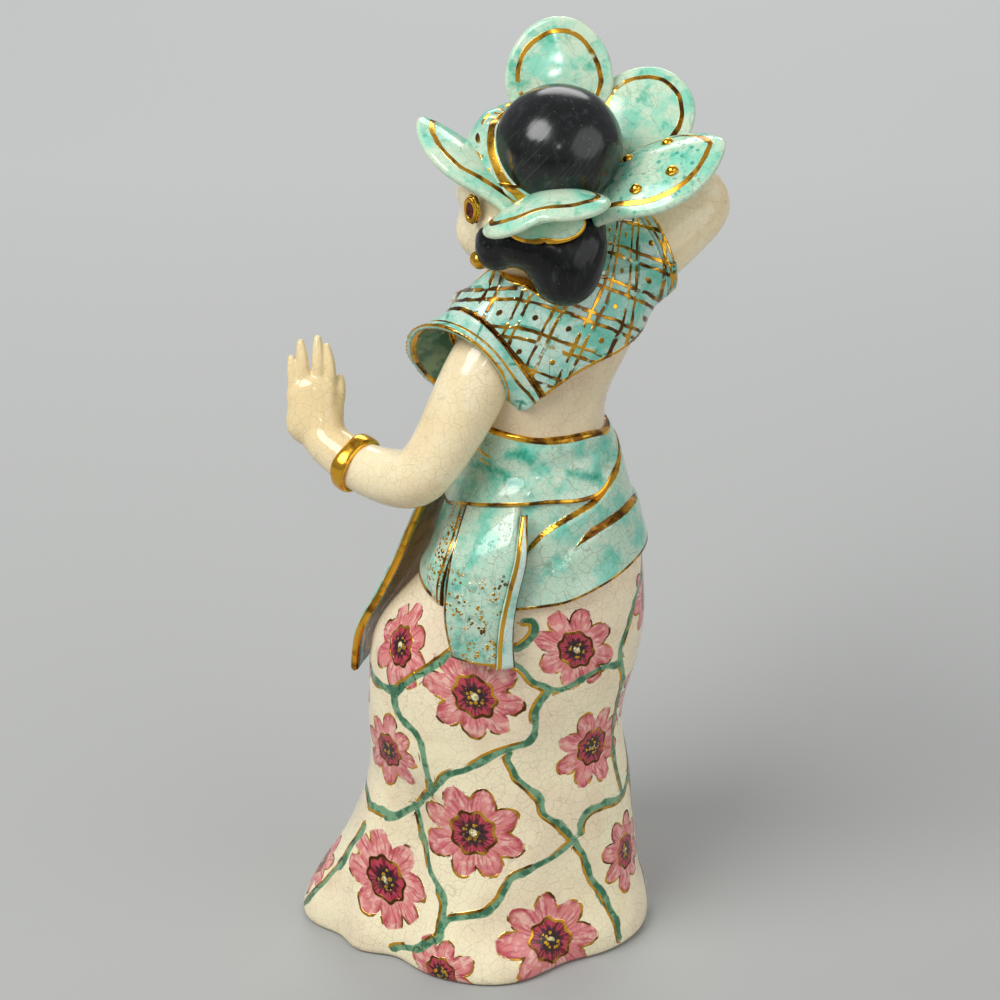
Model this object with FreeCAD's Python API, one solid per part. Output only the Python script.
import FreeCAD, Part
import math
import os

# A hand-built earthenware dancer, about 330 mm tall, standing on the hem of a long skirt.
# Millimetres, +Z up, origin at the middle of the base. The front is -Y and the figure's left is +X.
#
# The hips, arms and crown spread along the figure's diagonals, so places are given as
# (sway, side, height): sway runs towards the right back and side towards the left back.

# ---- driving dimensions -------------------------------------------------------------------
WALL = 4.0                # cast wall of the skirt
BASE_THICK = 5.0          # slab luted into the foot of the skirt
VENT_RADIUS = 4.0         # firing vent through the slab
VENT_PLACE = (14.0, -14.0, 0.0)
WAIST_HEIGHT = 184.0      # the skirt's casting meets the torso here
CLOTH = 2.4               # rolled clay sheet of the sash and blouse
PANEL = 3.2               # rolled clay sheet of the front panel and the sash tails
PETAL = 3.4               # crown petals
BEAD_RADIUS = 1.7
BANGLE_RADIUS = 1.9
RING_POINTS = 24          # points round each cross-section of the body
LIMB_POINTS = 12          # points round each cross-section of a limb
STRIP_STEPS = 8           # steps across a petal or panel
PETAL_SHARES = (0.0, 0.12, 0.28, 0.45, 0.62, 0.78, 0.9, 0.97, 1.0)
DROP_SHARES = (-0.99, -0.92, -0.75, -0.4, 0.0, 0.4, 0.75, 0.92, 0.99)
NARROW_ROOT = 0.62        # a petal's width at its root, as a share of its widest
BLUNT_TIP = 0.977         # 1 would bring a petal's tip to a point
ROUND = 1.0               # how sharply a petal ends: round
POINTED = 1.5             # or pointed
RIM_THIN = 0.45           # how thin a rolled sheet gets at its edge
SWAY_DIRECTION = 135.0    # degrees from X to the sway axis
DIAGONAL = math.sqrt(0.5)
TOUCH = 0.02              # pieces that only touch are not trimmed

# Skirt and torso: height, then how far the body reaches to sway -, sway +, side - and side +.
SKIRT = [
    (0.0, -70.5, 52.0, -44.0, 51.0),
    (7.0, -68.0, 52.0, -43.0, 51.0),
    (17.0, -62.0, 49.5, -41.0, 48.0),
    (33.0, -53.0, 47.2, -38.5, 44.0),
    (48.0, -47.6, 45.8, -36.0, 41.0),
    (62.0, -45.2, 44.6, -35.0, 39.0),
    (76.0, -45.4, 42.2, -34.5, 38.0),
    (92.0, -45.2, 44.2, -35.0, 38.0),
    (105.0, -44.2, 47.8, -36.0, 38.0),
    (115.0, -40.0, 49.0, -36.5, 37.5),
    (125.0, -31.5, 49.2, -36.0, 36.5),
    (135.0, -24.5, 48.6, -34.5, 35.0),
    (147.0, -20.0, 47.0, -32.5, 32.0),
    (160.0, -16.0, 43.8, -29.5, 28.0),
    (172.0, -12.5, 39.6, -26.0, 24.0),
    (WAIST_HEIGHT, -10.0, 35.8, -23.0, 20.5)]
TORSO = [
    (WAIST_HEIGHT, -10.0, 35.8, -23.0, 20.5),
    (194.0, -10.0, 34.8, -22.0, 20.0),
    (205.0, -11.5, 37.2, -22.0, 20.5),
    (216.0, -14.0, 42.0, -23.0, 22.0),
    (226.0, -15.0, 45.5, -24.0, 22.5),
    (236.0, -13.0, 45.5, -23.0, 20.5),
    (243.0, -8.0, 38.0, -19.0, 16.5),
    (248.0, -2.0, 22.0, -12.0, 11.0)]

# Folds of the skirt: direction in degrees from sway +, turning towards side +, at the hem and
# at the top of the fold, its depth at the hem and half-way up, its spread in degrees and its top.
FOLDS = [
    (122.0, 137.0, 7.5, 5.5, 17.0, 80.0),
    (150.0, 152.0, 6.5, 0.0, 13.0, 60.0),
    (82.0, 84.0, -4.0, 0.0, 16.0, 40.0),
    (56.0, 64.0, 3.0, 2.0, 13.0, 60.0),
    (20.0, 16.0, -1.0, 0.8, 14.0, 95.0),
    (-70.0, -76.0, 3.0, 4.0, 14.0, 80.0),
    (-125.0, -120.0, 4.0, 4.0, 14.0, 70.0)]


def place(spot):
    """A (sway, side, height) spot as a vector in X, Y and Z."""
    sway, side, height = spot
    return FreeCAD.Vector((side - sway) * DIAGONAL, (side + sway) * DIAGONAL, height)


def smooth(value):
    value = max(0.0, min(1.0, value))
    return value * value * (3.0 - 2.0 * value)


def closed_wire(points):
    curve = Part.BSplineCurve()
    curve.interpolate(points, True)
    return Part.Wire([curve.toShape()])


def loft(wires):
    solid = Part.makeLoft(wires, True, False)
    if solid.Volume < 0.0:
        solid.reverse()
    return solid


# ---- body rings ---------------------------------------------------------------------------
def fold_depth(angle, height):
    """How far the skirt is pressed in at this direction and height."""
    depth = 0.0
    for low_angle, high_angle, low_depth, middle_depth, spread, top in FOLDS:
        climb = height / top
        if climb >= 1.0:
            continue
        centre = low_angle + (high_angle - low_angle) * climb
        strength = low_depth + (middle_depth - low_depth) * smooth(2.0 * climb)
        strength *= 1.0 - smooth(2.0 * climb - 1.0)
        turn = (angle - centre + 180.0) % 360.0 - 180.0
        depth += strength * math.exp(-(turn / spread) ** 2)
    return depth


def body_ring(row, grow=0.0, lean=(0.0, 0.0), folds=True):
    """A ring of points round the body, grown outwards and with its plane leant."""
    height, left, right, far, near = row
    core = ((left + right) / 2.0, (far + near) / 2.0)
    reach = ((right - left) / 2.0 + grow, (near - far) / 2.0 + grow)
    points = []
    for step in range(RING_POINTS):
        angle = 360.0 * step / RING_POINTS
        press = fold_depth(angle, height) if folds else 0.0
        along = math.cos(math.radians(angle)) * (reach[0] - press)
        across = math.sin(math.radians(angle)) * (reach[1] - press)
        rise = lean[0] * along + lean[1] * across
        points.append(place((core[0] + along, core[1] + across, height + rise)))
    return closed_wire(points)


def body_row(height, rows):
    """The body's reaches at any height, between the two nearest rows."""
    for low, high in zip(rows, rows[1:]):
        if height <= high[0]:
            part = (height - low[0]) / (high[0] - low[0])
            return tuple(a + (b - a) * part for a, b in zip(low, high))
    return rows[-1]


def body(rows, grow=0.0, folds=True):
    return loft([body_ring(row, grow, folds=folds) for row in rows])


# ---- limbs and blobs ----------------------------------------------------------------------
def limb(stations, reference=(0.0, 0.0, 1.0)):
    """A rounded limb through stations: (spot, half-width, half-depth)."""
    spots = [place(station[0]) for station in stations]
    wires = []
    for index, (_, half_width, half_depth) in enumerate(stations):
        ahead = spots[min(index + 1, len(spots) - 1)]
        behind = spots[max(index - 1, 0)]
        heading = (ahead - behind).normalize()
        across = place(reference).cross(heading).normalize()
        up = heading.cross(across)
        points = []
        for step in range(LIMB_POINTS):
            angle = 2.0 * math.pi * step / LIMB_POINTS
            points.append(spots[index] + across * (half_width * math.cos(angle))
                          + up * (half_depth * math.sin(angle)))
        wires.append(closed_wire(points))
    return loft(wires)


def blob(centre, radii):
    """An ellipsoid with its radii along sway, side and height."""
    ball = Part.makeSphere(1.0)
    stretch = FreeCAD.Matrix()
    stretch.scale(*radii)
    stretch.rotateZ(math.radians(SWAY_DIRECTION))
    stretch.move(place(centre))
    return ball.transformGeometry(stretch)


def drop(centre, radius, half_height):
    """A small upright drop, round in plan, built from level rings."""
    sway, side, height = centre
    stations = []
    for share in DROP_SHARES:
        ring = radius * math.sqrt(1.0 - share * share)
        stations.append(((sway, side, height + half_height * share), ring, ring))
    return limb(stations, (1.0, 0.0, 0.0))


# ---- petals, panels and tails -------------------------------------------------------------
def strip_wire(middle, across, face, half_width, bow, thick):
    """A thin bowed section: across runs along the strip's width, face is its bulging side."""
    profile = []
    for step in range(STRIP_STEPS + 1):
        share = 2.0 * step / STRIP_STEPS - 1.0
        lift = bow * (1.0 - share * share)
        profile.append((share * half_width, lift))
    half = thick / 2.0
    upper = []
    lower = []
    for index, (run, lift) in enumerate(profile):
        ahead = profile[min(index + 1, STRIP_STEPS)]
        behind = profile[max(index - 1, 0)]
        span = math.hypot(ahead[0] - behind[0], ahead[1] - behind[1])
        slope = ((ahead[0] - behind[0]) / span, (ahead[1] - behind[1]) / span)
        rim = half * (RIM_THIN if index in (0, STRIP_STEPS) else 1.0)
        upper.append((run - slope[1] * rim, lift + slope[0] * rim))
        lower.append((run + slope[1] * rim, lift - slope[0] * rim))
    sides = []
    for outline in (upper, lower[::-1]):
        curve = Part.BSplineCurve()
        curve.interpolate([middle + across * run + face * lift for run, lift in outline])
        sides.append(curve)
    ends = [Part.LineSegment(one.value(one.LastParameter), other.value(other.FirstParameter))
            for one, other in (sides, sides[::-1])]
    return Part.Wire([edge.toShape() for edge in (sides[0], ends[0], sides[1], ends[1])])


def petal_frame(base, tip, face):
    """A petal's root, its heading to the tip, the direction across it and its bulging side."""
    root = place(base)
    heading = (place(tip) - root).normalize()
    across = heading.cross(place(face)).normalize()
    return root, heading, across, across.cross(heading)


def petal_section(spec, share):
    """Half-width, bow and middle point of a petal's section at a share of its length."""
    base, tip, width, face, crest, bow, sharp = spec
    root, heading, _, front = petal_frame(base, tip, face)
    length = (place(tip) - root).Length
    tip_share = max(0.0, 2.0 * share - 1.0)
    round_end = math.sqrt(1.0 - (tip_share * BLUNT_TIP) ** 2)
    swell = round_end ** sharp * (NARROW_ROOT + (1.0 - NARROW_ROOT) * smooth(2.0 * share))
    rise = crest * math.sin(math.pi * share) - bow * swell
    return width / 2.0 * swell, bow * swell, root + heading * (length * share) + front * rise


def petal(spec, thick=PETAL):
    """A round reflexed petal. Its face side bulges, by crest along it and by bow across it."""
    _, _, across, front = petal_frame(spec[0], spec[1], spec[3])
    wires = []
    for share in PETAL_SHARES:
        half_width, bow, middle = petal_section(spec, share)
        wires.append(strip_wire(middle, across, front, half_width, bow, thick))
    return loft(wires)


def petal_spot(spec, share, reach):
    """A point on a petal's bulging face, at a share of its length and of its half-width."""
    _, _, across, front = petal_frame(spec[0], spec[1], spec[3])
    half_width, bow, middle = petal_section(spec, share)
    lift = bow * (1.0 - reach * reach) + PETAL / 2.0
    return middle + across * (half_width * reach) + front * lift


def panel(rows, face, thick=PANEL):
    """A hanging clay panel. Each row is its left and right edge spots and its bow."""
    wires = []
    for left, right, bow in rows:
        start = place(left)
        end = place(right)
        across = (end - start).normalize()
        front = place(face)
        front = (front - across * front.dot(across)).normalize()
        wires.append(strip_wire((start + end) * 0.5, across, front, (end - start).Length / 2.0,
                                bow, thick))
    return loft(wires)


# ---- the pieces ---------------------------------------------------------------------------
def make_skirt():
    outer = body(SKIRT)
    cavity_rows = [row for row in SKIRT if row[0] < WAIST_HEIGHT - WALL]
    cavity_top = body_row(WAIST_HEIGHT - WALL - 2.0, SKIRT)
    return outer.cut(body(cavity_rows + [cavity_top], -WALL))


def make_base_plate():
    top = body_row(BASE_THICK, SKIRT)
    slab = loft([body_ring(SKIRT[0], -WALL), body_ring(top, -WALL)])
    vent = Part.makeCylinder(VENT_RADIUS, 3.0 * BASE_THICK, place(VENT_PLACE)
                             - FreeCAD.Vector(0.0, 0.0, BASE_THICK))
    return slab.cut(vent)


def make_head():
    skull = blob((8.0, 2.0, 267.0), (22.0, 22.0, 25.0))
    neck = limb([((8.0, 1.0, 240.0), 11.5, 11.5), ((8.0, 1.0, 246.0), 10.5, 10.5),
                 ((8.0, 1.0, 255.0), 10.0, 10.0), ((8.0, 1.0, 264.0), 10.0, 10.0)],
                (1.0, 0.0, 0.0))
    jaw = blob((0.5, -5.5, 259.0), (13.0, 13.0, 12.5))
    return skull.fuse(neck).fuse(jaw)


def make_hair_nape():
    roll = blob((12.0, 15.0, 262.5), (18.5, 15.0, 10.5))
    knot = blob((21.0, 22.0, 255.0), (12.0, 11.0, 13.5))
    return roll.fuse(knot)


def make_diadem():
    band = [(277.0, -15.5, 37.0, -24.0, 24.0), (287.0, -12.0, 37.0, -22.5, 22.0),
            (298.0, -4.0, 30.0, -16.0, 14.0)]
    inner = [(276.0, -12.5, 34.0, -21.0, 21.0), (287.0, -9.0, 34.0, -19.5, 19.0),
             (299.0, -0.5, 26.5, -12.5, 10.5)]
    return body(band, folds=False).cut(body(inner, folds=False))


def make_wrap(heights, swells, lean):
    """A clay sheet wrapped round the hips or waist, rising by lean towards the right back."""
    rows = [body_row(height, SKIRT + TORSO[1:]) for height in heights]
    return loft([body_ring(row, swell, (lean, 0.0)) for row, swell in zip(rows, swells)])


def make_blouse():
    rows = [body_row(height, TORSO) for height in (215.0, 226.0, 236.0, 243.0, 247.0)]
    swell = (CLOTH + 0.6, CLOTH + 0.6, CLOTH + 0.4, CLOTH, CLOTH)
    leans = ((0.24, -0.12), (0.18, -0.08), (0.13, 0.0), (0.1, 0.0), (0.08, 0.0))
    return loft([body_ring(row, grow, lean, False)
                 for row, grow, lean in zip(rows, swell, leans)])


def make_sleeve(mouth, shoulder, reference):
    """A flared cap sleeve: a short cone from the shoulder to its open mouth."""
    outer = limb([shoulder, mouth], reference)
    inner = limb([(spot, width - CLOTH, depth - CLOTH) for spot, width, depth
                  in (shoulder, mouth)], reference)
    return outer.cut(inner)


def make_hand(palm, fingers, reference):
    hand = limb(palm, reference)
    for finger in fingers:
        hand = hand.fuse(limb(finger, reference))
    return hand


def finger(root, tip, radius, bend):
    """A finger from root to tip that bends by an offset half-way."""
    middle = tuple((a + b) / 2.0 + c for a, b, c in zip(root, tip, bend))
    end = tuple(b + (b - m) * 0.06 for b, m in zip(tip, middle))
    return [(root, radius, radius), (middle, radius * 0.95, radius * 0.95),
            (tip, radius * 0.7, radius * 0.7), (end, radius * 0.3, radius * 0.3)]


def bangle(centre, heading, radius):
    return Part.makeTorus(radius, BANGLE_RADIUS, place(centre), place(heading))


ARM_LEFT = [((4.0, 6.5, 226.0), 10.8, 11.2), ((-3.4, 11.0, 218.5), 11.6, 11.8),
            ((-10.6, 16.5, 206.0), 11.5, 11.8), ((-18.0, 21.5, 192.5), 10.4, 10.6),
            ((-25.0, 24.3, 183.0), 10.0, 10.0), ((-31.0, 22.0, 179.0), 9.8, 9.8),
            ((-38.5, 16.5, 177.6), 9.2, 9.2), ((-48.0, 9.5, 178.5), 8.2, 8.2)]
PALM_LEFT = [((-48.0, 9.5, 178.5), 8.2, 8.2), ((-56.0, 4.0, 182.5), 7.6, 7.2),
             ((-62.0, 0.0, 188.0), 8.8, 6.0), ((-63.2, -1.8, 195.0), 8.0, 5.0),
             ((-62.6, -2.4, 201.0), 7.4, 3.8), ((-62.4, -2.8, 204.0), 6.6, 2.8)]
FINGERS_LEFT = [finger((-68.2, -2.6, 198.0), (-69.2, -5.2, 210.2), 2.0, (0.0, 0.5, 0.0)),
                finger((-64.6, -2.8, 200.5), (-66.0, -6.2, 215.2), 2.3, (0.0, 0.7, 0.0)),
                finger((-60.2, -2.8, 201.0), (-60.4, -6.8, 216.4), 2.3, (0.1, 0.8, 0.0)),
                finger((-56.8, -2.6, 199.5), (-57.5, -6.6, 213.6), 2.2, (0.6, 0.8, 0.0)),
                finger((-55.6, -1.4, 191.0), (-53.4, -5.4, 202.8), 2.5, (0.6, 0.4, 0.0))]
ARM_RIGHT = [((35.0, -5.0, 236.0), 12.0, 12.4), ((47.5, -12.0, 244.6), 12.0, 12.2),
             ((57.5, -19.0, 250.2), 11.2, 11.4), ((64.5, -25.5, 253.8), 10.3, 10.3),
             ((66.0, -32.0, 256.4), 9.8, 9.8), ((59.0, -40.0, 260.5), 9.2, 9.2),
             ((48.0, -45.5, 265.0), 8.3, 8.3), ((36.0, -49.5, 268.5), 7.2, 7.2)]
PALM_RIGHT = [((36.0, -49.5, 268.5), 7.2, 7.0), ((28.0, -51.5, 270.5), 7.0, 6.2),
              ((20.0, -52.5, 272.5), 8.4, 5.2), ((14.0, -52.5, 274.0), 7.6, 4.0)]
FINGERS_RIGHT = [finger((18.0, -52.0, 279.0), (7.0, -50.0, 284.5), 2.3, (0.0, -0.8, 0.6)),
                 finger((17.0, -52.4, 276.0), (3.0, -50.0, 279.5), 2.5, (0.0, -0.8, 0.6)),
                 finger((17.0, -52.4, 272.5), (2.5, -50.5, 273.5), 2.5, (0.0, -0.8, 0.6)),
                 finger((18.0, -52.0, 268.5), (6.0, -50.5, 267.0), 2.4, (0.0, -0.8, 0.6)),
                 finger((28.0, -52.0, 277.0), (20.0, -50.0, 287.0), 2.5, (-0.4, -0.8, 0.6))]

# Crown petals: base, tip, width, the side that bulges, the crest along it, the bow across it,
# and how sharply it ends.
PETALS = {
    "petal_front_right": ((19.0, -12.0, 283.0), (19.2, -25.0, 322.0), 35.0, (0, 1, 0.35), 1.5, 1.5, ROUND),
    "petal_right": ((33.0, -6.0, 281.0), (58.5, -20.0, 302.5), 33.0, (-0.35, 1, 0.5), 1.5, 1.5, ROUND),
    "petal_right_back": ((27.0, 12.0, 273.0), (71.5, 11.0, 292.5), 33.0, (-0.1, 0.3, 1), 3.0, 6.0, POINTED),
    "petal_left_back": ((15.0, 18.0, 277.0), (13.0, 44.0, 279.5), 41.0, (-0.28, 0.1, 1), 3.5, 7.0, ROUND),
    "petal_left_front": ((7.5, 18.5, 275.0), (-26.0, -1.0, 296.0), 31.0, (0.55, 0, 0.83), 2.5, 6.0, POINTED)}

NAPE_GUARD = ((14.0, 22.0, 278.0), (14.0, 35.0, 268.5), 26.0, (0, 1, 0.6), 2.0, 4.0, ROUND)

CASTING = ("skirt_shell", "base_plate")

# Gilt beads on the right back petal: shares of its length and of its half-width.
BEADS = [(0.36, 0.5), (0.62, 0.42), (0.36, -0.5), (0.64, -0.5)]


def make_pieces():
    """Every piece by name. Earlier pieces keep their shape, later ones are trimmed to them."""
    pieces = {}
    pieces["skirt_shell"] = make_skirt()
    pieces["base_plate"] = make_base_plate()
    pieces["torso"] = body(TORSO, folds=False)
    pieces["left_arm"] = limb(ARM_LEFT, (0.3, 0.2, 1.0))
    pieces["left_hand"] = make_hand(PALM_LEFT, FINGERS_LEFT, (0.2, 1.0, 0.2))
    pieces["left_bangle"] = bangle((-48.0, 9.5, 178.5), (-8.2, -6.4, 2.6), 8.6)
    pieces["right_arm"] = limb(ARM_RIGHT, (0.0, 0.3, 1.0))
    pieces["right_hand"] = make_hand(PALM_RIGHT, FINGERS_RIGHT, (0.0, 1.0, 0.2))
    pieces["right_bangle"] = bangle((36.0, -49.5, 268.5), (-10.0, -3.0, 2.3), 7.6)
    pieces["head"] = make_head()
    pieces["hair_dome"] = blob((18.6, 9.0, 290.5), (20.6, 20.6, 20.0))
    pieces["hair_nape"] = make_hair_nape()
    pieces["diadem"] = make_diadem()
    for name, spec in PETALS.items():
        pieces[name] = petal(spec)
    pieces["nape_guard"] = petal(NAPE_GUARD, 2.6)
    pieces["ear_ornament_left"] = drop((-8.4, 18.2, 273.0), 3.2, 4.8)
    pieces["ear_ornament_right"] = drop((24.4, -14.2, 273.0), 3.2, 4.8)
    pieces["earring_left"] = drop((-6.0, 16.0, 255.4), 3.2, 3.8)
    pieces["earring_right"] = drop((22.0, -12.0, 255.4), 3.2, 3.8)
    pieces["blouse"] = make_blouse()
    pieces["sleeve_left"] = make_sleeve(((-12.0, 14.2, 217.0), 19.6, 19.0),
                                        ((2.0, 6.0, 233.0), 15.0, 15.0), (0.3, 0.2, 1.0))
    pieces["sleeve_right"] = make_sleeve(((51.0, -12.8, 246.5), 15.4, 15.8),
                                         ((38.0, -7.0, 239.5), 16.4, 16.4), (0.0, 0.3, 1.0))
    pieces["waist_band"] = make_wrap((165.0, 172.0, 180.0, 188.0, 194.0),
                                     (2.0, CLOTH + 1.4, CLOTH + 0.8, CLOTH, 0.8), 0.07)
    pieces["hip_sash"] = make_wrap((135.0, 144.0, 156.0, 167.0, 173.0),
                                   (CLOTH + 0.4, CLOTH + 0.4, CLOTH, CLOTH - 0.2, 0.8), 0.04)
    pieces["sash_tail_main"] = panel([((-10.0, 14.5, 169.0), (7.0, 24.0, 172.5), 1.0),
                                      ((-13.0, 22.0, 162.0), (5.8, 34.0, 163.5), 2.0),
                                      ((-16.5, 30.5, 152.0), (4.4, 38.0, 154.0), 2.5),
                                      ((-18.2, 36.0, 137.5), (0.2, 41.0, 137.0), 2.5),
                                      ((-15.8, 38.5, 121.0), (-1.0, 42.5, 119.5), 1.5)],
                                     (0.0, 1.0, 0.0))
    pieces["sash_tail_pleat"] = panel([((6.8, 30.5, 170.0), (9.2, 30.2, 170.0), 0.1),
                                       ((5.4, 36.2, 162.0), (8.8, 34.8, 162.0), 0.3),
                                       ((4.0, 39.5, 154.0), (8.0, 37.5, 154.0), 0.4),
                                       ((0.0, 42.8, 137.0), (4.5, 40.5, 137.0), 0.4),
                                       ((-1.2, 44.0, 119.0), (4.9, 41.8, 119.0), 0.4)],
                                      (0.0, 1.0, 0.0), 2.4)
    pieces["sash_tail_back"] = panel([((-13.0, 8.0, 167.0), (-9.5, 14.0, 168.5), 0.6),
                                      ((-16.4, 16.5, 161.0), (-12.6, 23.5, 161.8), 1.0),
                                      ((-19.0, 22.5, 156.0), (-14.8, 29.5, 156.0), 1.5),
                                      ((-22.8, 25.0, 147.0), (-18.2, 33.0, 147.0), 1.5),
                                      ((-20.5, 29.0, 138.0), (-18.8, 34.5, 138.0), 0.5)],
                                     (-0.6, 0.8, 0.0), 2.6)
    pieces["front_panel"] = panel([((-18.0, -4.0, 178.0), (11.0, -26.0, 178.0), 9.0),
                                   ((-25.0, -4.0, 160.0), (10.0, -32.0, 160.0), 11.0),
                                   ((-33.0, -4.0, 140.0), (8.0, -38.0, 140.0), 13.0),
                                   ((-40.5, -4.0, 123.0), (6.0, -44.0, 123.0), 14.0),
                                   ((-48.5, -4.0, 107.0), (3.0, -48.0, 107.0), 13.0),
                                   ((-50.5, -5.0, 91.0), (1.0, -49.0, 91.0), 12.0)],
                                  (-1.0, -1.0, 0.0))
    beads = [Part.makeSphere(BEAD_RADIUS, petal_spot(PETALS["petal_right_back"], share, reach))
             for share, reach in BEADS]
    pieces["petal_beads"] = Part.makeCompound(beads)
    return pieces


def boxes_meet(one, other):
    a = one.BoundBox
    b = other.BoundBox
    return (a.XMin < b.XMax and b.XMin < a.XMax and a.YMin < b.YMax and b.YMin < a.YMax
            and a.ZMin < b.ZMax and b.ZMin < a.ZMax)


def largest(shape):
    return max(shape.Solids, key=lambda solid: solid.Volume)


def main():
    os.makedirs("parts", exist_ok=True)
    pieces = make_pieces()
    for name in CASTING:
        pieces[name].exportStep("parts/" + name + ".step")
    kept = [body(SKIRT)]
    for name, shape in pieces.items():
        if name in CASTING:
            continue
        solids = []
        for solid in shape.Solids:
            for other in kept:
                if boxes_meet(solid, other) and solid.common(other).Volume > TOUCH:
                    solid = largest(solid.cut(other))
            solids.append(solid)
        kept.extend(solids)
        result = solids[0] if len(solids) == 1 else Part.makeCompound(solids)
        result.exportStep("parts/" + name + ".step")
        print(name, round(result.Volume), result.isValid())


main()
